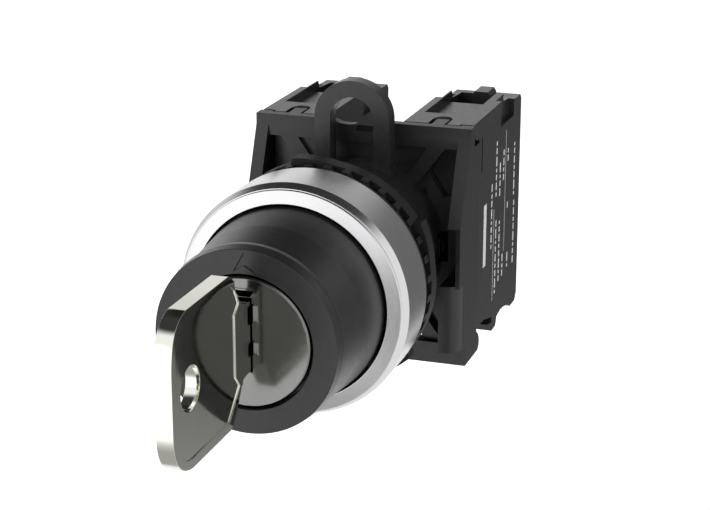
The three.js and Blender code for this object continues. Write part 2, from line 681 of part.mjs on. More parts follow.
// A box given by its distances from the middle of the block at x = middle.
function inBlock(middle, x0, x1, y0, y1, z0, z1) {
  return box(middle + x0, middle + x1, y0, y1, z0, z1);
}

function blockHousingGeometry(middle) {
  const [left, right] = [middle - BLOCK_HALF, middle + BLOCK_HALF];
  const body = alongX(blockOutline(), left, right, 5);
  const reach = FRAME_HALF_WIDTH - FRAME_WALL - CLEARANCE; // between the frame's side walls
  const nose = box(Math.max(left, -reach), Math.min(right, reach), BLOCK_FRONT, BLOCK_SHOULDER + 0.1,
    -13.1, BLOCK_TOP);
  const post = alongY(outline([[middle - 1.3, 13.5], [middle - 1.3, 15.4], [middle - 1, 16],
    [middle + 1, 16], [middle + 1.3, 15.4], [middle + 1.3, 13.5]]), 43.4, BLOCK_REAR - 1.2);
  return joined(cut(joined(body, nose), ...topCuts(middle), ...sideCuts(middle), ...innerCuts(middle)), post);
}

function topCuts(middle) {
  const tabHalf = 1.15;
  const recess = inBlock(
    middle, RECESS_LEFT, RECESS_RIGHT, RECESS_FRONT, RECESS_REAR + 0.1, RECESS_FLOOR, 18);
  const wireEntry = inBlock(middle, RECESS_LEFT, RECESS_RIGHT, RECESS_REAR, 46.2, 10.6, 18);
  const tabNotch = inBlock(middle, -tabHalf - CLEARANCE, tabHalf, BLOCK_FRONT - 1, 24.4, 15.4, 18);
  const notchEnd = new THREE.Shape().absarc(middle - CLEARANCE / 2, 24.4, tabHalf, 0, 2 * Math.PI);
  return [recess, wireEntry, tabNotch, alongZ(notchEnd, 15.4, 18, 12)];
}

function sideCuts(middle) {
  const thumbDepth = 0.9;
  const thumbs = [-1, 1].map((side) => {
    const [x0, x1] = ordered(side * (BLOCK_HALF - thumbDepth), side * (BLOCK_HALF + 1));
    const shape = outline([[36.6, 12.8], [44.1, 12.8], [44.1, 18], [36.6, 18]]);
    return alongX(shape, middle + x0, middle + x1);
  });
  const slit = inBlock(middle, BLOCK_HALF - 0.5, BLOCK_HALF + 1, 26.2, 26.7, 8.8, 13.8);
  const channel = inBlock(middle, -6, 6, BLOCK_FRONT - 1, 23.1, -2, 2);
  return [...thumbs, slit, channel];
}

function innerCuts(middle) {
  const high = CAVITY_HALF_HEIGHT;
  const cavity = inBlock(middle, CAVITY_LEFT - 0.1, CAVITY_RIGHT, CAVITY_FRONT, CAVITY_REAR, -high, high);
  const cover = inBlock(middle, -BLOCK_HALF - 1, CAVITY_LEFT, CAVITY_FRONT - COVER_LAP,
    CAVITY_REAR + COVER_LAP, -high - COVER_LAP, high + COVER_LAP);
  const bore = rod(1.8, BLOCK_FRONT - 1, CAVITY_FRONT + 1, middle, 0);
  const drivers = [-1, 1].map((up) => (
    rod(DRIVER_HOLE, CAVITY_REAR - 1, BLOCK_REAR + 1, middle, up * TERMINAL_HEIGHT, 24)));
  const bottomEntry = inBlock(middle, -2.4, 2.4, 38.6, 44, -18, -high + 1);
  return [cavity, cover, bore, ...drivers, bottomEntry];
}

function blockCoverGeometry(middle) {
  const lap = COVER_LAP - CLEARANCE;
  const high = CAVITY_HALF_HEIGHT + lap;
  return inBlock(middle, -BLOCK_HALF, CAVITY_LEFT - CLEARANCE, CAVITY_FRONT - lap, CAVITY_REAR + lap,
    -high, high);
}

// The plunger carries the bridge in a window and has a pocket for the return spring.
function plungerGeometry(middle) {
  const stem = rod(1.5, PLUNGER_TIP, 26.1, middle);
  const carrier = inBlock(middle, -2.6, 2.6, 26, 33, -3.2, 3.2);
  const [front, rear] = [BRIDGE_Y - CLEARANCE, BRIDGE_Y + BRIDGE_THICKNESS + CLEARANCE];
  const window = inBlock(middle, -4, 4, front, rear, -2.2, 2.2);
  const tunnel = inBlock(middle, -2, 2, front, rear, -4, 4);
  const pocket = rod(1.9, 31.4, 34, middle);
  return cut(joined(stem, carrier), window, tunnel, pocket);
}

function bridgeGeometry(middle, contactSide) {
  const plate = inBlock(middle, -1.7, 1.7, BRIDGE_Y, BRIDGE_Y + BRIDGE_THICKNESS, -7.4, 7.4);
  const face = contactSide > 0 ? BRIDGE_Y + BRIDGE_THICKNESS - 0.1 : BRIDGE_Y + 0.1;
  const tips = [-1, 1].map((up) => {
    const [y0, y1] = ordered(face, face + contactSide * 0.6);
    return rod(1.1, y0, y1, middle, up * 6.2);
  });
  return joined(plate, ...tips);
}

// A fixed contact runs from its tip by the bridge out to the terminal.
function fixedContactGeometry(middle, up, contactSide) {
  const tipReach = contactSide > 0 ? BRIDGE_Y + BRIDGE_THICKNESS + 0.5 + PUSH_TRAVEL + CLEARANCE
    : BRIDGE_Y - 0.5 - CLEARANCE;
  const thick = 0.8;
  const [y0, y1] = ordered(tipReach, tipReach + contactSide * thick);
  const strip = alongX(outline([
    [y0, up * 5.2], [y1, up * 5.2], [y1, up * 10.1], [40.2, up * 10.4], [40.2, up * 6], [41, up * 6],
    [41, up * 11.2], [y0, up * 10.9],
  ]), middle - 2.5, middle + 2.5);
  return cut(strip, rod(1.7, 39, 42, middle, up * TERMINAL_HEIGHT));
}

function clampPlateGeometry(middle, up) {
  const z = up * TERMINAL_HEIGHT;
  const plate = inBlock(middle, -2.6, 2.6, 41.8, 42.6, z - 2.6, z + 2.6);
  return cut(plate, rod(1.7, 41, 43, middle, z));
}

// ---------------------------------------------------------------- assembly

function ordered(a, b) {
  return a < b ? [a, b] : [b, a];
}

function slab(side, near, far, y0, y1, z0, z1) {
  const [x0, x1] = ordered(side * near, side * far);
  return box(x0, x1, y0, y1, z0, z1);
}

function mirrored(points, side) {
  return outline(points.map(([x, z]) => [side * x, z]));
}

const group = new THREE.Group();

function add(name, geometry, material) {
  const mesh = new THREE.Mesh(geometry, material.clone());
  mesh.name = name;
  group.add(mesh);
}

function addContactBlock(name, middle, contactSide) {
  add(`${name}_housing`, blockHousingGeometry(middle), satinBlack);
  add(`${name}_cover`, blockCoverGeometry(middle), satinBlack);
  add(`${name}_plunger`, plungerGeometry(middle), mattBlack);
  add(`${name}_bridge`, bridgeGeometry(middle, contactSide), copper);
  add(`${name}_return_spring`, coil(1.2, 0.25, 31.9, CAVITY_REAR - 0.5, 6).translate(middle, 0, 0), steel);
  for (const [place, up] of [['upper', 1], ['lower', -1]]) {
    const z = up * TERMINAL_HEIGHT;
    add(`${name}_${place}_contact`, fixedContactGeometry(middle, up, contactSide), brass);
    add(`${name}_${place}_clamp`, clampPlateGeometry(middle, up), steel);
    add(`${name}_${place}_screw`, crossHeadScrew(2.4, 42.9, 1.6, 1.4, 36.6, middle, z), steel);
  }
}

add('key', keyGeometry(), nickel);
add('lock_plug', lockPlugGeometry(), nickel);
waferPlaces().forEach((y, i) => add(`lock_wafer_${i + 1}`, waferGeometry(y), brass));
add('lock_sleeve', lockSleeveGeometry(), brass);
add('knob', knobGeometry(), satinBlack);
add('bezel_ring', bezelGeometry(), aluminium);
add('knob_seal', knobSealGeometry(), rubber);
add('panel_gasket', gasketGeometry(), rubber);
add('operator_barrel', barrelGeometry(), mattBlack);
add('ring_nut', ringNutGeometry(), mattBlack);
add('drive_cam', driveCamGeometry(), whitePlastic);
add('cam_screw', crossHeadScrew(2.6, TAIL_REAR + 0.3, 1.6, 1.4, BLADE_TIP + 1.4), steel);
add('detent_spring', detentSpringGeometry(), steel);
add('rod_guide', rodGuideGeometry(), mattBlack);
add('push_rod_left', pushRodGeometry(-1), mattBlack);
add('push_rod_right', pushRodGeometry(1), mattBlack);
add('mounting_frame', mountingFrameGeometry(), mattBlack);
add('locking_slide', lockingSlideGeometry(), satinBlack);
addContactBlock('left_block', -BLOCK_CENTRE, -1);
addContactBlock('right_block', BLOCK_CENTRE, 1);

export default group;
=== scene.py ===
# The looks of a key-operated selector switch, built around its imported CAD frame.
#
# Lengths are in millimetres until a mesh is made, which scales them to metres. X runs to the
# right as the operator sees the switch, Y runs from the key back to the blocks, Z is up.
import json
import math

import bmesh
import bpy
from mathutils import Matrix, Vector

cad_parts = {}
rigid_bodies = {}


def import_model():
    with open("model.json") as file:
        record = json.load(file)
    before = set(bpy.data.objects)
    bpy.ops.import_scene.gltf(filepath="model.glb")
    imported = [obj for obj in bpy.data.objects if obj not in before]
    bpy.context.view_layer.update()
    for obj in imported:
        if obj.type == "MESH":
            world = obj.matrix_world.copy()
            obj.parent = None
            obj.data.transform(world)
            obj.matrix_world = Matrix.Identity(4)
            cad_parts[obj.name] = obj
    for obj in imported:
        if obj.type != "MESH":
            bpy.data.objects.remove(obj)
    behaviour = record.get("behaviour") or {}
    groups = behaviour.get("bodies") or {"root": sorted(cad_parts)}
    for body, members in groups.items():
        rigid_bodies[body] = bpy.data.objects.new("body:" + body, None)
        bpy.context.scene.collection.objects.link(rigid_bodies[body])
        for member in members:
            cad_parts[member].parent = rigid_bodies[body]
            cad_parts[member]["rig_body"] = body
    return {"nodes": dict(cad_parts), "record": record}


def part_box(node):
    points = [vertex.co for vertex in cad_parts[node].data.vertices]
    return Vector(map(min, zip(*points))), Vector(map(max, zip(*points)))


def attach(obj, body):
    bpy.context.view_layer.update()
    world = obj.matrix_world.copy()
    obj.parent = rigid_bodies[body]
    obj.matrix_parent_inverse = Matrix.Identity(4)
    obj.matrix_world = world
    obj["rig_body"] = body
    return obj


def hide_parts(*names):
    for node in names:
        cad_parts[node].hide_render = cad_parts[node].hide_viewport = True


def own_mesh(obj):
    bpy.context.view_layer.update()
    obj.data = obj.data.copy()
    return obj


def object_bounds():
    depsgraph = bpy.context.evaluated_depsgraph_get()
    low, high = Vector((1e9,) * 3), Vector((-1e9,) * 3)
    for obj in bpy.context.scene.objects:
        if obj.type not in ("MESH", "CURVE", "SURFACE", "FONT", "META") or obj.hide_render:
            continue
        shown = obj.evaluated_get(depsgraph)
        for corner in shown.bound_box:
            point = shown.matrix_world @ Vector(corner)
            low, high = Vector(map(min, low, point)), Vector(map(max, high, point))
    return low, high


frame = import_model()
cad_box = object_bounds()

MM = 0.001
FULL_TURN = 2 * math.pi

# How fine the meshes are
ROUND_SIDES = 144  # of the large turned pieces
BORE_SIDES = 96  # of the key's hole, and of the ring nut's bore and skirt
FILLET_STEPS = 4
CURVE_STEPS = 22
ON_AXIS = 1e-6  # a radius below this lies on the axis
SAME_POINT = 1e-5  # points of a new mesh that are closer than this become one
WELD_GAP = 0.002  # the same for a mesh that has been cut

# How they are finished
FLAT_ANGLE = 0.8  # faces that turn by fewer degrees than this are merged
SHARP_ANGLE = 32  # edges that turn by more degrees than this are bevelled
EDGE = 0.12  # bevel of a moulded or stamped edge
CLOSE_EDGE = 0.02  # bevel of a piece that others slide against


# ---------------------------------------------------------------- sizes taken from the frame

def reach(node):
    """A turned node's outer radius and its front and rear along Y, in millimetres."""
    low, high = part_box(node)
    return high.z / MM, low.y / MM, high.y / MM


def span(node):
    """A node's lowest and highest corner, in millimetres."""
    low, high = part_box(node)
    return tuple(low / MM), tuple(high / MM)


# ---------------------------------------------------------------- outlines

def filleted(corners):
    """Rounds the corners of a closed outline: each is (a, b) or (a, b, radius)."""
    points = []
    count = len(corners)
    for i, corner in enumerate(corners):
        here = Vector(corner[:2])
        if len(corner) == 2:
            points.append(here)
            continue
        radius = corner[2]
        before = (Vector(corners[i - 1][:2]) - here).normalized()
        after = (Vector(corners[(i + 1) % count][:2]) - here).normalized()
        half = before.angle(after) / 2
        setback = radius / math.tan(half)
        centre = here + (before + after).normalized() * radius / math.sin(half)
        start = here + before * setback - centre
        end = here + after * setback - centre
        turn = math.atan2(start.x * end.y - start.y * end.x, start.dot(end))
        for k in range(FILLET_STEPS + 1):
            spin = Matrix.Rotation(turn * k / FILLET_STEPS, 2)
            points.append(centre + spin @ start)
    return points


def traced(start, *moves):
    """A path of straight moves (a, b) and curved moves (control a, control b, a, b)."""
    points = [Vector(start)]
    for move in moves:
        if len(move) == 2:
            points.append(Vector(move))
            continue
        before, control, after = points[-1], Vector(move[:2]), Vector(move[2:])
        for k in range(1, CURVE_STEPS + 1):
            t = k / CURVE_STEPS
            points.append(before * (1 - t) ** 2 + control * 2 * t * (1 - t) + after * t * t)
    return points


def arc(centre, radius, start, end, steps=24):
    """Points round a centre, from one angle to another, in radians."""
    return [Vector((
        centre[0] + radius * math.cos(start + (end - start) * k / steps),
        centre[1] + radius * math.sin(start + (end - start) * k / steps),
    )) for k in range(steps + 1)]


def circle(centre, radius):
    """A closed round outline, as fine as a bore."""
    return arc(centre, radius, 0, FULL_TURN, BORE_SIDES)[:-1]


# ---------------------------------------------------------------- meshes

def add_object(name, data):
    """Puts a mesh, curve, camera or lamp into the scene."""
    thing = bpy.data.objects.new(name, data)
    bpy.context.scene.collection.objects.link(thing)
    return thing


def mesh_from(name, bm):
    """Turns a bmesh into a mesh, and frees it."""
    mesh = bpy.data.meshes.new(name)
    bm.to_mesh(mesh)
    bm.free()
    return mesh


def made(name, bm):
    """Turns a bmesh in millimetres into an object in metres."""
    bmesh.ops.remove_doubles(bm, verts=bm.verts, dist=SAME_POINT)
    bmesh.ops.recalc_face_normals(bm, faces=bm.faces)
    bm.transform(Matrix.Scale(MM, 4))
    return add_object(name, mesh_from(name, bm))


def lathe(name, profile):
    """Turns a closed outline of (radius, y) points about the switch's axis."""
    bm = bmesh.new()
    rings = []
    for i in range(ROUND_SIDES):
        angle = FULL_TURN * i / ROUND_SIDES
        rings.append([bm.verts.new((r * math.sin(angle), y, r * math.cos(angle))) for r, y in profile])
    for i, ring in enumerate(rings):
        following = rings[(i + 1) % ROUND_SIDES]
        for k in range(len(profile)):
            n = (k + 1) % len(profile)
            if max(profile[k][0], profile[n][0]) > ON_AXIS:
                bm.faces.new([ring[k], ring[n], following[n], following[k]])
    return made(name, bm)


def prism(name, outline, low, high, axis="Y"):
    """Carries an outline along an axis: (x, z) along Y, (y, z) along X, (x, y) along Z."""
    place = {
        "X": lambda a, b, c: (c, a, b),
        "Y": lambda a, b, c: (a, c, b),
        "Z": lambda a, b, c: (a, b, c),
    }[axis]
    bm = bmesh.new()
    near = [bm.verts.new(place(a, b, low)) for a, b in outline]
    far = [bm.verts.new(place(a, b, high)) for a, b in outline]
    bm.faces.new(near)
    bm.faces.new(far[::-1])
    for i in range(len(outline)):
        n = (i + 1) % len(outline)
        bm.faces.new([near[i], near[n], far[n], far[i]])
    return made(name, bm)


def block(name, low, high):
    """A box between two corners."""
    outline = [(low[0], low[2]), (high[0], low[2]), (high[0], high[2]), (low[0], high[2])]
    return prism(name, outline, low[1], high[1])


def evaluated_mesh(thing):
    """A new mesh of an object as its modifiers or its curve shape it."""
    graph = bpy.context.evaluated_depsgraph_get()
    return bpy.data.meshes.new_from_object(thing.evaluated_get(graph))


def combine(piece, tools, operation):
    """Joins or cuts a piece with other solids, which are used up."""
    for tool in tools:
        modifier = piece.modifiers.new(operation.lower(), "BOOLEAN")
        modifier.operation = operation
        modifier.solver = "EXACT"
        modifier.object = tool
        before = piece.data
        result = evaluated_mesh(piece)
        piece.modifiers.clear()
        piece.data = result
        bpy.data.meshes.remove(before)
        bpy.data.objects.remove(tool)


def cut(piece, *tools):
    combine(piece, tools, "DIFFERENCE")


def join(piece, *tools):
    combine(piece, tools, "UNION")


def shade(piece):
    """Shades a piece smooth, with its flats kept flat."""
    piece.data.shade_smooth()
    piece.modifiers.new("normals", "WEIGHTED_NORMAL").keep_sharp = True


def soften(piece, width, segments=2, merge_flats=True):
    """Merges flat faces, bevels the sharp edges and shades the rest smooth."""
    weld = piece.modifiers.new("weld", "WELD")
    weld.merge_threshold = WELD_GAP * MM
    if merge_flats:
        flat = piece.modifiers.new("flat", "DECIMATE")
        flat.decimate_type = "DISSOLVE"
        flat.angle_limit = math.radians(FLAT_ANGLE)
    bevel = piece.modifiers.new("bevel", "BEVEL")
    bevel.width = width * MM
    bevel.segments = segments
    bevel.limit_method = "ANGLE"
    bevel.angle_limit = math.radians(SHARP_ANGLE)
    shade(piece)


# ---------------------------------------------------------------- node trees

def add_node(tree, kind, **values):
    """Adds a node to a tree, with the settings given by name."""
    node = tree.nodes.new(kind)
    for key, value in values.items():
        setattr(node, key, value)
    return node


def set_inputs(node, **values):
    """Sets a node's inputs; an underscore in a name stands for a space."""
    for key, value in values.items():
        node.inputs[key.replace("_", " ")].default_value = value


class Nodes:
    """A material's node tree, with short calls for the nodes used here."""

    # Nearly all of a noise's values lie between these
    NOISE_LOW = 0.3
    NOISE_HIGH = 0.7

    def __init__(self, name):
        self.material = bpy.data.materials.new(name)
        self.material.use_nodes = True
        self.tree = self.material.node_tree
        self.shader = self.tree.nodes["Principled BSDF"]
        self.place = self.add("ShaderNodeTexCoord").outputs["Object"]

    def add(self, kind, **values):
        return add_node(self.tree, kind, **values)

    def link(self, source, target):
        self.tree.links.new(source, target)

    def noise(self, scale, detail=3, vector=None):
        """Noise over the object's own coordinates in metres, or over the vector."""
        node = self.add("ShaderNodeTexNoise")
        set_inputs(node, Scale=scale, Detail=detail)
        self.link(vector or self.place, node.inputs["Vector"])
        return node.outputs["Fac"]

    def ranged(self, noise, low, high):
        """A noise spread from one value to another."""
        node = self.add("ShaderNodeMapRange")
        set_inputs(node, From_Min=self.NOISE_LOW, From_Max=self.NOISE_HIGH, To_Min=low, To_Max=high)
        self.link(noise, node.inputs["Value"])
        return node.outputs["Result"]

    def colour(self, noise, first, second):
        """Base colour that drifts from one tone to another."""
        node = self.add("ShaderNodeMix", data_type="RGBA")
        self.link(self.ranged(noise, 0, 1), node.inputs["Factor"])
        set_inputs(node, A=(*first, 1), B=(*second, 1))
        self.link(node.outputs["Result"], self.shader.inputs["Base Color"])

    def roughness(self, noise, low, high):
        """Roughness that drifts from one value to another."""
        self.link(self.ranged(noise, low, high), self.shader.inputs["Roughness"])

    def bump(self, noise, depth):
        """A surface that rises and falls with a noise, by a depth in metres."""
        node = self.add("ShaderNodeBump")
        set_inputs(node, Strength=1, Distance=depth)
        self.link(noise, node.inputs["Height"])
        self.link(node.outputs["Normal"], self.shader.inputs["Normal"])

    def stretched(self, scale):
        """The object's coordinates, with each axis scaled on its own."""
        node = self.add("ShaderNodeMapping")
        set_inputs(node, Scale=scale)
        self.link(self.place, node.inputs["Vector"])
        return node.outputs["Vector"]

    def turned(self, round_scale):
        """Coordinates that run fast along the radius and Y and slowly round the axis."""
        split = self.add("ShaderNodeSeparateXYZ")
        self.link(self.place, split.inputs[0])
        angle = self.add("ShaderNodeMath", operation="ARCTAN2")
        self.link(split.outputs["X"], angle.inputs[0])
        self.link(split.outputs["Z"], angle.inputs[1])
        slow = self.add("ShaderNodeMath", operation="MULTIPLY")
        self.link(angle.outputs[0], slow.inputs[0])
        slow.inputs[1].default_value = round_scale
        flat = self.add("ShaderNodeCombineXYZ")
        self.link(split.outputs["X"], flat.inputs["X"])
        self.link(split.outputs["Z"], flat.inputs["Y"])
        radius = self.add("ShaderNodeVectorMath", operation="LENGTH")
        self.link(flat.outputs[0], radius.inputs[0])
        joined = self.add("ShaderNodeCombineXYZ")
        self.link(radius.outputs["Value"], joined.inputs["X"])
        self.link(split.outputs["Y"], joined.inputs["Y"])
        self.link(slow.outputs[0], joined.inputs["Z"])
        return joined.outputs[0]


# ---------------------------------------------------------------- materials

def moulded_plastic(name, dark, light, roughness, specular=0.5):
    """Moulded thermoplastic: a fine grain, and a faint drift in tone and gloss."""
    drift = 0.03
    n = Nodes(name)
    n.colour(n.noise(900), dark, light)
    n.roughness(n.noise(1500), roughness - drift, roughness + drift)
    n.bump(n.noise(3200), depth=4e-6)
    set_inputs(n.shader, Specular_IOR_Level=specular)
    return n.material


def turned_metal(name, dark, light, roughness):
    """Metal turned on a lathe: fine rings round the axis."""
    drift = 0.02
    n = Nodes(name)
    rings = n.noise(6500, vector=n.turned(round_scale=0.0016))
    n.colour(rings, dark, light)
    n.roughness(rings, roughness - drift, roughness + drift)
    n.bump(rings, depth=3e-7)
    set_inputs(n.shader, Metallic=1)
    return n.material


def plated_metal(name, dark, light, roughness, scratches=(900, 60, 60), depth=3e-7):
    """Polished plating with hairline scratches and a faint cloudiness."""
    n = Nodes(name)
    hairs = n.noise(9, 4, n.stretched(scratches))
    n.colour(n.noise(220), dark, light)
    n.roughness(hairs, roughness - 0.02, roughness + 0.03)
    n.bump(hairs, depth)
    set_inputs(n.shader, Metallic=1)
    return n.material


def dull_rubber(name, dark, light):
    """Rubber without gloss, a little coarser than the plastics."""
    n = Nodes(name)
    n.colour(n.noise(400), dark, light)
    n.roughness(n.noise(700), 0.7, 0.85)
    n.bump(n.noise(3000, detail=2), depth=8e-6)
    return n.material


# The record's slots, by their names
MATERIALS = {
    "satin_black": moulded_plastic("satin_black", (0.008, 0.008, 0.0083), (0.011, 0.011, 0.0113), 0.31),
    "matt_black": moulded_plastic("matt_black", (0.006, 0.006, 0.0063), (0.009, 0.009, 0.0093), 0.38),
    "rubber": dull_rubber("rubber", (0.010, 0.010, 0.010), (0.020, 0.020, 0.020)),
    "white_plastic": moulded_plastic("white_plastic", (0.62, 0.60, 0.55), (0.70, 0.68, 0.62), 0.45),
    "aluminium": turned_metal("aluminium", (0.69, 0.69, 0.70), (0.73, 0.73, 0.74), 0.24),
    "nickel": plated_metal("nickel", (0.84, 0.84, 0.76), (0.88, 0.88, 0.80), 0.08, depth=5e-8),
    "brass": plated_metal("brass", (0.55, 0.40, 0.17), (0.62, 0.46, 0.21), 0.28),
    "copper": plated_metal("copper", (0.60, 0.34, 0.20), (0.66, 0.40, 0.25), 0.28),
    "steel": plated_metal("steel", (0.44, 0.44, 0.45), (0.52, 0.52, 0.53), 0.26),
}

# Looks of single pieces, which aren't those of their slots
NUT_BLACK = moulded_plastic("nut_black", (0.006, 0.006, 0.0065), (0.009, 0.009, 0.0095), 0.5, specular=0.25)
PRINTING_INK = moulded_plastic("printing_ink", (0.36, 0.36, 0.36), (0.44, 0.44, 0.44), 0.5)
LOCK_FACE_METAL = plated_metal(
    "lock_face", (0.20, 0.20, 0.195), (0.22, 0.22, 0.215), 0.13, scratches=(60, 60, 900), depth=4e-8)


def paint(piece, material):
    """Gives a piece one material."""
    piece.data.materials.clear()
    piece.data.materials.append(material)


def stands_for(piece, node, slot, material=None):
    """Paints a new piece, rides it on its CAD node's body and shows it in the node's place."""
    paint(piece, material or MATERIALS[slot])
    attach(piece, frame["nodes"][node]["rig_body"])
    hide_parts(node)


# ---------------------------------------------------------------- key

KEY_HALF = 1.0  # half the bow's thickness
BOW_FRONT = -46
BOW_REAR = -24.4
BOW_TOP = 10.4
BOW_BOTTOM = -7.95
BOW_HOLE = (-40.9, 1.2)
BOW_HOLE_RADIUS = 2.58
PANEL_TOP = 9.3
PANEL_BOTTOM = -6.85
PANEL_DEPTH = 0.15

BLADE_HALF = 0.8
BLADE_BOTTOM = -3.3
BLADE_TOP = 5.3
BLADE_TIP = 1
TIP_LENGTH = 2
TIP_SLOPE = 2.4
THINNED_FROM = -26.4  # from here to the lock the bow is as thin as the blade
GROOVES = ((2.5, 4.7), (-1.4, 0.2))  # heights that the blade's grooves run between
GROOVE_DEPTH = 0.35
OVERLAP = 0.2  # of the blade and its grooves with the bow's end

LOCK_FACE = reach("lock_plug")[1]


def bow_outline():
    """The bow as (y, z): along its top to the front, and back along its underside."""
    return traced(
        (-30.3, BOW_TOP), (-41.8, BOW_TOP), (-44.6, 9.9, -45.4, 7.8), (BOW_FRONT, 6.2, BOW_FRONT, 4),
        (BOW_FRONT, -2.6), (-45.9, -7.4, -41, BOW_BOTTOM), (-30.2, BOW_BOTTOM), (-29, -7.6, -26.8, -3.9),
        (-25.6, BLADE_BOTTOM, BOW_REAR, BLADE_BOTTOM), (BOW_REAR, BLADE_TOP), (-27.4, 6, -28.2, 8.4),
        (-28.8, 10.2, -30.3, BOW_TOP))[:-1]


def panel_outline():
    """The bow's thinner panel, inside its raised rim."""
    return traced(
        (-30.6, PANEL_TOP), (-41.6, PANEL_TOP), (-44.8, 8.6, -45, 4), (-45, -2.4),
        (-44.8, -6.6, -41, PANEL_BOTTOM), (-30.6, PANEL_BOTTOM), (-27.3, -3.6), (-28.5, -2.2),
        (-28.5, 5.2), (-27.2, 6.3), (-28.4, 9, -30.6, PANEL_TOP))[:-1]


def blade_outline():
    """The blade as (y, z), with a tip that tapers from both edges."""
    root, shoulder = BOW_REAR - OVERLAP, BLADE_TIP - TIP_LENGTH
    return [
        (root, BLADE_BOTTOM), (root, BLADE_TOP), (shoulder, BLADE_TOP), (BLADE_TIP, BLADE_TOP - TIP_SLOPE),
        (BLADE_TIP, BLADE_BOTTOM + TIP_SLOPE), (shoulder, BLADE_BOTTOM)]


def build_key():
    """The key, with its panels and thinned neck on both sides and its grooves on the right."""
    past_side, below, above = 3, -9, 11
    key = prism("key_polished", bow_outline(), -KEY_HALF, KEY_HALF, "X")
    join(key, prism("blade", blade_outline(), -BLADE_HALF, BLADE_HALF, "X"))
    tools = [prism("hole", circle(BOW_HOLE, BOW_HOLE_RADIUS), -2 * KEY_HALF, 2 * KEY_HALF, "X")]
    for side in (-1, 1):
        near, far = sorted((side * BLADE_HALF, side * past_side))
        tools.append(block("thinning", (near, THINNED_FROM, below), (far, LOCK_FACE, above)))
        near, far = sorted((side * (KEY_HALF - PANEL_DEPTH), side * (KEY_HALF + 1)))
        tools.append(prism("panel", panel_outline(), near, far, "X"))
    for low, high in GROOVES:
        start = (BLADE_HALF - GROOVE_DEPTH, BOW_REAR + OVERLAP, low)
        tools.append(block("groove", start, (BLADE_HALF + 1, BLADE_TIP + 1, high)))
    cut(key, *tools)
    soften(key, 0.05, segments=3)
    stands_for(key, "key", "nickel")


# ---------------------------------------------------------------- lock

DISC_RADIUS = 8.05
DISC_THICKNESS = 2
DISC_CHAMFER = 0.25
PLUG_RADIUS = 7
PLUG_REAR = 4.3
TAIL_HALF = 2.5

KEYWAY_GAP = 0.14  # on each side of the blade
KEYWAY_END_GAP = 0.3  # above and below it
WARDS = ((2.6, 4.66), (-1.35, 0.14))  # heights of the slots beside the keyway
WARD_DEPTH = 0.75
WARD_SLOPE = 0.34

WINDOW = ((-0.75, 5.65), (0.75, 5.65), (1.2, 6.4), (-1.2, 6.4))
WINDOW_DEPTH = 4
POCKET_HALF = 1.25
POCKET_HEIGHTS = (6.6, 7.5)
POCKET_DEPTH = 0.12

WAFERS = [f"lock_wafer_{i}" for i in range(1, 6)]
WAFER_GAP = 0.3  # in front of and behind each wafer
WAFER_SLOT_HALF = 2.7
WAFER_SLOT_HEIGHTS = (-6.1, 8)


def keyway_tools():
    """What cuts the keyway: a slot for the blade, and ward slots with sloping floors beside it."""
    half, before = BLADE_HALF + KEYWAY_GAP, LOCK_FACE - 1
    slot = block("slot", (-half, before, BLADE_BOTTOM - KEYWAY_END_GAP),
                 (half, BLADE_TIP + 1, BLADE_TOP + KEYWAY_END_GAP))
    inner, outer = half - 0.1, half + WARD_DEPTH
    sloped = [(inner, before), (outer, before), (outer, LOCK_FACE + 0.02), (inner, LOCK_FACE + WARD_SLOPE)]
    return [slot, *(prism("ward", sloped, bottom, top, "Z") for bottom, top in WARDS)]


def wafer_slot(node):
    """What cuts the slot that a wafer slides in."""
    _, front, rear = reach(node)
    bottom, top = WAFER_SLOT_HEIGHTS
    return block("wafer_slot", (-WAFER_SLOT_HALF, front - WAFER_GAP, bottom),
                 (WAFER_SLOT_HALF, rear + WAFER_GAP, top))


def build_lock_plug():
    """The lock cylinder: a disc face, a body with the keyway and wafer slots, and a square tail."""
    _, front, rear = reach("lock_plug")
    step = front + DISC_THICKNESS
    plug = lathe("lock_plug_turned", filleted([
        (0, front), (DISC_RADIUS - DISC_CHAMFER, front, 0.04), (DISC_RADIUS, front + DISC_CHAMFER, 0.04),
        (DISC_RADIUS, step), (PLUG_RADIUS, step), (PLUG_RADIUS, PLUG_REAR), (0, PLUG_REAR)]))
    join(plug, block("tail", (-TAIL_HALF, PLUG_REAR - 0.1, -TAIL_HALF), (TAIL_HALF, rear, TAIL_HALF)))
    window = prism("window", WINDOW, front - 1, front + WINDOW_DEPTH)
    bottom, top = POCKET_HEIGHTS
    pocket = block("pocket", (-POCKET_HALF, front - 1, bottom), (POCKET_HALF, front + POCKET_DEPTH, top))
    cut(plug, *keyway_tools(), window, pocket, *(wafer_slot(node) for node in WAFERS))
    soften(plug, 0.04)
    stands_for(plug, "lock_plug", "nickel", LOCK_FACE_METAL)


# ---------------------------------------------------------------- knob

FACE_RADIUS = 11.33
FLANGE_RADIUS = 11.52
FLANGE_THICKNESS = 2.4
LOCK_BORE = 8.34
WEB_THICKNESS = 2.3  # of the flange's middle, which the lock's body passes
WEB_BORE = 7.3
CAVITY_RADIUS = 9.15
CAVITY_FRONT = -19.9
NECK_RADIUS = 12.25
KNOB_REAR = -2.7
SEAL_GROOVE = (11.2, -6.5, -5)  # its radius, front and rear
ARROW = ((0, 10.95), (1.3, 8.6), (0, 9.35), (-1.3, 8.6))
ARROW_DEPTH = 0.22


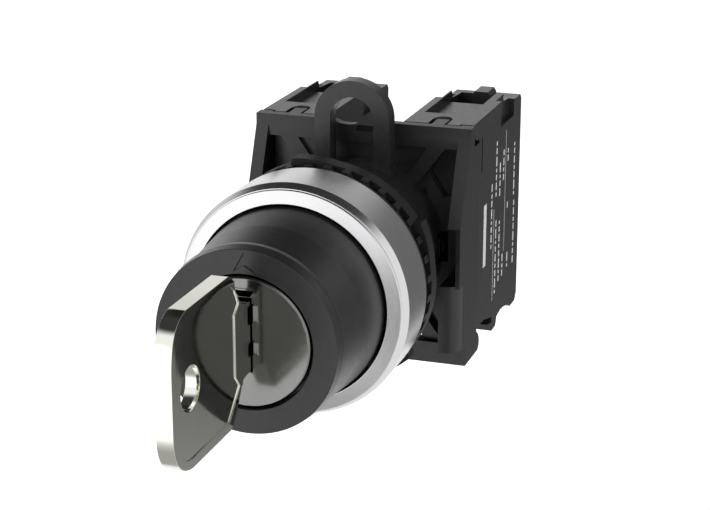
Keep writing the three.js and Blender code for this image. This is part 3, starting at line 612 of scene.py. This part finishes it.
def build_knob():
    """The turning knob: a flange with an engraved arrow, and a neck that widens to the rear."""
    front = reach("knob")[1]
    web, flange_rear = front + WEB_THICKNESS, front + FLANGE_THICKNESS
    groove, groove_front, groove_rear = SEAL_GROOVE
    knob = lathe("knob_moulding", filleted([
        (LOCK_BORE, front, 0.1), (FACE_RADIUS - 0.05, front, 0.03), (FACE_RADIUS, front + 0.06, 0.03),
        (FLANGE_RADIUS, front + 1.5, 0.3), (FLANGE_RADIUS, flange_rear, 0.25), (11.0, flange_rear, 0.15),
        (11.75, -15, 6), (NECK_RADIUS, -9.2, 6), (NECK_RADIUS, groove_front), (groove, groove_front),
        (groove, groove_rear), (NECK_RADIUS, groove_rear), (NECK_RADIUS, KNOB_REAR),
        (CAVITY_RADIUS, KNOB_REAR), (CAVITY_RADIUS, CAVITY_FRONT),
        (WEB_BORE, CAVITY_FRONT), (WEB_BORE, web), (LOCK_BORE, web)]))
    cut(knob, prism("arrow", ARROW, front - 1, front + ARROW_DEPTH))
    soften(knob, 0.03)
    stands_for(knob, "knob", "satin_black")


# ---------------------------------------------------------------- bezel and gasket

BEZEL_OPENING = 12.57
BEZEL_WALL = 0.4
BEZEL_WEB_REAR = -2.6
GASKET_BORE = 11.3


def build_bezel():
    """The bezel: a sloping front with a fine groove near its rim, and a thin skirt behind."""
    outer, front, rear = reach("bezel_ring")
    inner, groove = outer - BEZEL_WALL, front + 0.6
    bezel = lathe("bezel_ring_turned", filleted([
        (BEZEL_OPENING, front, 0.12), (outer - 0.72, front + 0.38, 0.03), (outer - 0.64, groove, 0.03),
        (outer - 0.54, groove, 0.03), (outer - 0.44, front + 0.74, 0.04), (outer, front + 1.6, 0.3),
        (outer, rear, 0.15), (inner, rear, 0.1), (inner, BEZEL_WEB_REAR),
        (BEZEL_OPENING, BEZEL_WEB_REAR, 0.1)]))
    shade(bezel)
    stands_for(bezel, "bezel_ring", "aluminium")


def build_gasket():
    """The flat ring behind the bezel, with rounded edges."""
    outer, front, rear = reach("panel_gasket")
    gasket = lathe("panel_gasket_rubber", filleted([
        (GASKET_BORE, front, 0.2), (outer, front, 0.3), (outer, rear, 0.3), (GASKET_BORE, rear, 0.2)]))
    shade(gasket)
    stands_for(gasket, "panel_gasket", "rubber")


# ---------------------------------------------------------------- ring nut

NUT_FRONT = 1.4
RIM_REAR = 3.0
TEETH_REAR = 5.2
NUT_REAR = 7.2
NUT_RADIUS = 14.8
SKIRT_RADIUS = 13.4
NUT_BORE = 11.3
NOTCHES = 36
NOTCH_RADIUS = 0.85
TEETH = 5
TOOTH_STEPS = 32
TOOTH_HEIGHT = 0.8
TOOTH_SHARE = 0.3  # of the way to the next tooth, over which a tooth falls away
FIRST_TOOTH = math.pi / 2 + 0.24


def notched_rim():
    """The rim's outline, with half-round notches all the way round."""
    rim = []
    for i in range(NOTCHES):
        middle = FULL_TURN * i / NOTCHES
        centre = (NUT_RADIUS * math.cos(middle), NUT_RADIUS * math.sin(middle))
        rim += arc(centre, NOTCH_RADIUS, middle - math.pi / 2, middle - 1.5 * math.pi, 10)
    return rim


def toothed_ring():
    """The outline behind the rim, with ratchet teeth that rise at once and fall away slowly."""
    ring = []
    for tooth in range(TEETH):
        start = FIRST_TOOTH - FULL_TURN * tooth / TEETH
        for k in range(TOOTH_STEPS):
            share = k / TOOTH_STEPS
            radius = NUT_RADIUS + TOOTH_HEIGHT * max(0, 1 - share / TOOTH_SHARE)
            angle = start - share * FULL_TURN / TEETH
            ring.append(Vector((radius * math.cos(angle), radius * math.sin(angle))))
    return ring


def build_ring_nut():
    """The ring nut: a notched rim, ratchet teeth behind it and a plain skirt."""
    nut = prism("ring_nut_moulding", notched_rim(), NUT_FRONT, RIM_REAR)
    teeth = prism("nut_teeth", toothed_ring(), RIM_REAR - 0.01, TEETH_REAR)
    join(nut, teeth, prism("nut_skirt", circle((0, 0), SKIRT_RADIUS), TEETH_REAR - 0.1, NUT_REAR))
    cut(nut, prism("nut_bore", circle((0, 0), NUT_BORE), NUT_FRONT - 1, NUT_REAR + 1))
    soften(nut, 0.14, segments=3)
    stands_for(nut, "ring_nut", "matt_black", NUT_BLACK)


# ---------------------------------------------------------------- locking slide

HOOP_OUTER = 5.2
HOOP_INNER = 3
HOOP_CENTRE = 17.6
HOOP_FOOT = 11.3
BAR_EXTRA = 0.22  # the bar stands out past the hoop by this on each side
BAR_HOLLOW = 10.4  # radius of the bar's underside, about the switch's axis
TOOTH_HALF = 2.6
TOOTH_HEIGHTS = (9.5, 10.7)


def build_locking_slide():
    """The locking slide: an upright hoop on a bar with a hollow underside and a tooth."""
    _, front, rear = reach("locking_slide")
    middle = (0, HOOP_CENTRE)
    hoop = [
        Vector((HOOP_OUTER, HOOP_FOOT)), *arc(middle, HOOP_OUTER, 0, math.pi, 48),
        Vector((-HOOP_OUTER, HOOP_FOOT)), Vector((-HOOP_INNER, HOOP_FOOT)),
        *arc(middle, HOOP_INNER, math.pi, 0, 48), Vector((HOOP_INNER, HOOP_FOOT))]
    slide = prism("locking_slide_moulding", hoop, front, rear)
    half, bar_top = HOOP_OUTER + BAR_EXTRA, HOOP_FOOT + 0.1
    end = math.acos(half / BAR_HOLLOW)
    bar = [(half, bar_top), (-half, bar_top), *arc((0, 0), BAR_HOLLOW, math.pi - end, end)]
    bottom, top = TOOTH_HEIGHTS
    tooth = block("tooth", (-TOOTH_HALF, front, bottom), (TOOTH_HALF, rear, top))
    join(slide, prism("bar", bar, front, rear), tooth)
    soften(slide, 0.22, segments=3)
    stands_for(slide, "locking_slide", "satin_black")


# ---------------------------------------------------------------- return springs

WIRE_RADIUS = 0.25
SPRING_TURNS = 6
STEPS_PER_TURN = 24


def build_return_spring(side):
    """A coil spring of round wire, as long as its CAD node and carried on that node's body."""
    node = f"{side}_block_return_spring"
    low, high = span(node)
    radius = (high[0] - low[0]) / 2 - WIRE_RADIUS
    middle_x, middle_z = (low[0] + high[0]) / 2, (low[2] + high[2]) / 2
    curve = bpy.data.curves.new("spring", "CURVE")
    curve.dimensions = "3D"
    curve.bevel_depth = WIRE_RADIUS * MM
    curve.bevel_resolution = 3
    curve.use_fill_caps = True
    spline = curve.splines.new("POLY")
    steps = SPRING_TURNS * STEPS_PER_TURN
    spline.points.add(steps)
    for i, point in enumerate(spline.points):
        angle = FULL_TURN * i / STEPS_PER_TURN
        y = low[1] + WIRE_RADIUS + (high[1] - low[1] - 2 * WIRE_RADIUS) * i / steps
        place = (middle_x + radius * math.cos(angle), y, middle_z + radius * math.sin(angle))
        point.co = (*(Vector(place) * MM), 1)
    wound = add_object("spring", curve)
    spring = add_object(f"{side}_return_spring_coil", evaluated_mesh(wound))
    bpy.data.objects.remove(wound)
    spring.data.shade_smooth()
    stands_for(spring, node, "steel")
    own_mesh(spring)


# ---------------------------------------------------------------- moulded and stamped pieces

def refine(node, slot, width, merge_flats):
    """Shows a copy of a CAD piece with its edges softened, and where wanted its flats merged."""
    bm = bmesh.new()
    source = frame["nodes"][node].data.copy()
    if "custom_normal" in source.attributes:
        source.attributes.remove(source.attributes["custom_normal"])
    bm.from_mesh(source)
    bpy.data.meshes.remove(source)
    bm.transform(Matrix.Scale(1 / MM, 4))
    piece = made(f"{node}_finished", bm)
    soften(piece, width, merge_flats=merge_flats)
    stands_for(piece, node, slot)


# ---------------------------------------------------------------- printing on the block's side

PRINT_THICKNESS = 0.02
DASH_WIDTH = 0.5
DASH_GAP = 0.35
DASHES = (1.1, 0.6, 0.9, 1.4, 0.5, 0.8)  # lengths of the dashes, taken in turn
# Each row of dashes: its place along Y, then the heights it runs between
DASH_ROWS = (
    (32.3, 5.6, -4.6), (34.6, 11.2, 2.4), (34.9, -0.4, -11.6), (36.7, 7.6, 2.4), (36.9, -1.0, -10.6),
    (38.7, 9.0, 3.8), (39.0, -6.6, -10.6), (41.2, 8.6, 6.2), (41.4, 0.6, -2.0), (41.9, -7.2, -10.2),
    (45.0, 8.6, 0.6), (45.3, -0.2, -10.0))
LINE_WIDTH = 0.12
LONG_LINES = ((33.6, 1.6, -12.0), (39.8, 11.6, -6.4))
PLAIN_BAR = (28.0, 29.4, -5.4, 3.6)  # from and to along Y, then from and to in height


def printed_marks():
    """The marks, each as its ends along Y and in height."""
    marks = [(y - LINE_WIDTH / 2, y + LINE_WIDTH / 2, low, high) for y, high, low in LONG_LINES]
    marks.append(PLAIN_BAR)
    for row, (y, high, low) in enumerate(DASH_ROWS):
        z, step = high, row
        while z - DASHES[step % len(DASHES)] > low:
            length = DASHES[step % len(DASHES)]
            marks.append((y - DASH_WIDTH / 2, y + DASH_WIDTH / 2, z - length, z))
            z -= length + DASH_GAP
            step += 1
    return marks


def build_printing():
    """Blank printed marks: rows of dashes, two long lines and a plain bar."""
    face = span("right_block_housing")[1][0]
    bm = bmesh.new()
    for y0, y1, z0, z1 in printed_marks():
        size = (PRINT_THICKNESS, y1 - y0, z1 - z0)
        middle = (face + PRINT_THICKNESS / 2, (y0 + y1) / 2, (z0 + z1) / 2)
        bmesh.ops.create_cube(bm, size=1, matrix=Matrix.LocRotScale(Vector(middle), None, Vector(size)))
    printing = made("right_block_printing", bm)
    paint(printing, PRINTING_INK)
    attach(printing, frame["nodes"]["right_block_housing"]["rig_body"])


# ---------------------------------------------------------------- studio

# Camera: where it stands round the switch in degrees, and what it looks at
CAMERA_AZIMUTH = 18.58
CAMERA_ELEVATION = 17.87
CAMERA_DISTANCE = 243.715
CAMERA_TARGET = (2.091, 10.513, 0.592)
CAMERA_LENS = 93.9
SENSOR_WIDTH = 36
CLIP_START = 10

FLOOR_DROP = 45  # from the switch's lowest point to the floor
FLOOR_HALF = 6000
FLOOR_GLOW = 0.5

# Softboxes: each one's place, its width and height, and its power in watts
SOFTBOXES = {
    "left_softbox": ((-900, -900, 1000), (800, 800), 24),
    "right_softbox": ((1500, -400, 120), (500, 900), 18),
}

# Regions of the white room whose brightness isn't one: the way to each, its brightness, and the
# angles in degrees from its middle within which it is full and beyond which it is gone
ROOM = (
    ((-0.10, 0.25, 0.96), 0.04, 38, 62),
    ((-0.20, 0.62, 0.76), 0.40, 10, 24),
    ((-0.38, -0.88, -0.26), 1.60, 14, 36),
    ((-0.20, -0.35, -0.92), 0.40, 25, 48),
    ((0.36, 0.93, -0.04), 0.15, 18, 34),
    ((0.36, -0.87, -0.34), 0.30, 15, 26),
    ((-0.98, 0.1, -0.1), 0.65, 20, 45),
)


def aim(thing, place, direction):
    """Stands a camera or lamp at a place and turns it to face a direction."""
    thing.location = Vector(place) * MM
    thing.rotation_mode = "QUATERNION"
    thing.rotation_quaternion = direction.to_track_quat("-Z", "Y")


def add_floor():
    """A white floor below the switch, which glows a little and shows in no reflection."""
    bm = bmesh.new()
    bmesh.ops.create_grid(bm, x_segments=1, y_segments=1, size=FLOOR_HALF * MM)
    floor = add_object("floor", mesh_from("floor", bm))
    floor.location = (0, 0, cad_box[0].z - FLOOR_DROP * MM)
    n = Nodes("floor_paint")
    set_inputs(n.shader, Base_Color=(0.9, 0.9, 0.9, 1), Roughness=0.9)
    set_inputs(n.shader, Emission_Color=(1, 1, 1, 1), Emission_Strength=FLOOR_GLOW)
    paint(floor, n.material)
    floor.visible_glossy = False


def add_camera():
    """The camera, in front of the switch, to its right and above."""
    azimuth, elevation = math.radians(CAMERA_AZIMUTH), math.radians(CAMERA_ELEVATION)
    level = math.cos(elevation)
    back = Vector((math.sin(azimuth) * level, -math.cos(azimuth) * level, math.sin(elevation)))
    camera = add_object("camera", bpy.data.cameras.new("camera"))
    camera.data.lens = CAMERA_LENS
    camera.data.sensor_width = SENSOR_WIDTH
    camera.data.clip_start = CLIP_START * MM
    aim(camera, Vector(CAMERA_TARGET) + back * CAMERA_DISTANCE, -back)
    bpy.context.scene.camera = camera


def room_region(tree, place, direction, brightness, full, gone):
    """A factor that is one outside a region of the room and its brightness inside."""
    dot = add_node(tree, "ShaderNodeVectorMath", operation="DOT_PRODUCT")
    dot.inputs[1].default_value = Vector(direction).normalized()
    tree.links.new(place, dot.inputs[0])
    mask = add_node(tree, "ShaderNodeMapRange", interpolation_type="SMOOTHSTEP")
    set_inputs(mask, From_Min=math.cos(math.radians(gone)), From_Max=math.cos(math.radians(full)))
    set_inputs(mask, To_Min=1, To_Max=brightness)
    tree.links.new(dot.outputs["Value"], mask.inputs["Value"])
    return mask.outputs["Result"]


def add_world():
    """A white room with a dark ceiling and a few screens, which the metals reflect."""
    world = bpy.data.worlds.new("room")
    bpy.context.scene.world = world
    world.use_nodes = True
    tree = world.node_tree
    place = add_node(tree, "ShaderNodeTexCoord").outputs["Generated"]
    level, *others = [room_region(tree, place, *region) for region in ROOM]
    for factor in others:
        product = add_node(tree, "ShaderNodeMath", operation="MULTIPLY")
        tree.links.new(level, product.inputs[0])
        tree.links.new(factor, product.inputs[1])
        level = product.outputs[0]
    background = tree.nodes["Background"]
    set_inputs(background, Color=(1, 1, 1, 1))
    tree.links.new(level, background.inputs["Strength"])


def add_softbox(name, place, size, power):
    """A rectangular lamp aimed at the switch, which shows in no reflection."""
    lamp = bpy.data.lights.new(name, "AREA")
    lamp.shape = "RECTANGLE"
    lamp.size, lamp.size_y = (s * MM for s in size)
    lamp.energy = power
    light = add_object(name, lamp)
    light.visible_glossy = False
    aim(light, place, -Vector(place))


# ---------------------------------------------------------------- assembly

build_key()
build_lock_plug()
build_knob()
build_bezel()
build_gasket()
build_ring_nut()
build_locking_slide()
build_printing()
for side in ("left", "right"):
    build_return_spring(side)

# Every other CAD piece keeps its shape and gets a fine finish. The wafers slide close to the
# lock's sleeve, so its facets are kept and its edges are nearly sharp.
SLOTS = {row["node"]: row["material_slot"] for row in frame["record"]["subparts"]}
CLOSE_FITS = {"lock_sleeve"}
REPLACED = {node for node, cad in frame["nodes"].items() if cad.hide_render}
for node in sorted(set(frame["nodes"]) - REPLACED):
    close = node in CLOSE_FITS
    refine(node, SLOTS[node], CLOSE_EDGE if close else EDGE, merge_flats=not close)

add_floor()
add_camera()
add_world()
for name, (place, size, power) in SOFTBOXES.items():
    add_softbox(name, place, size, power)
bpy.context.scene.view_settings.view_transform = "Standard"
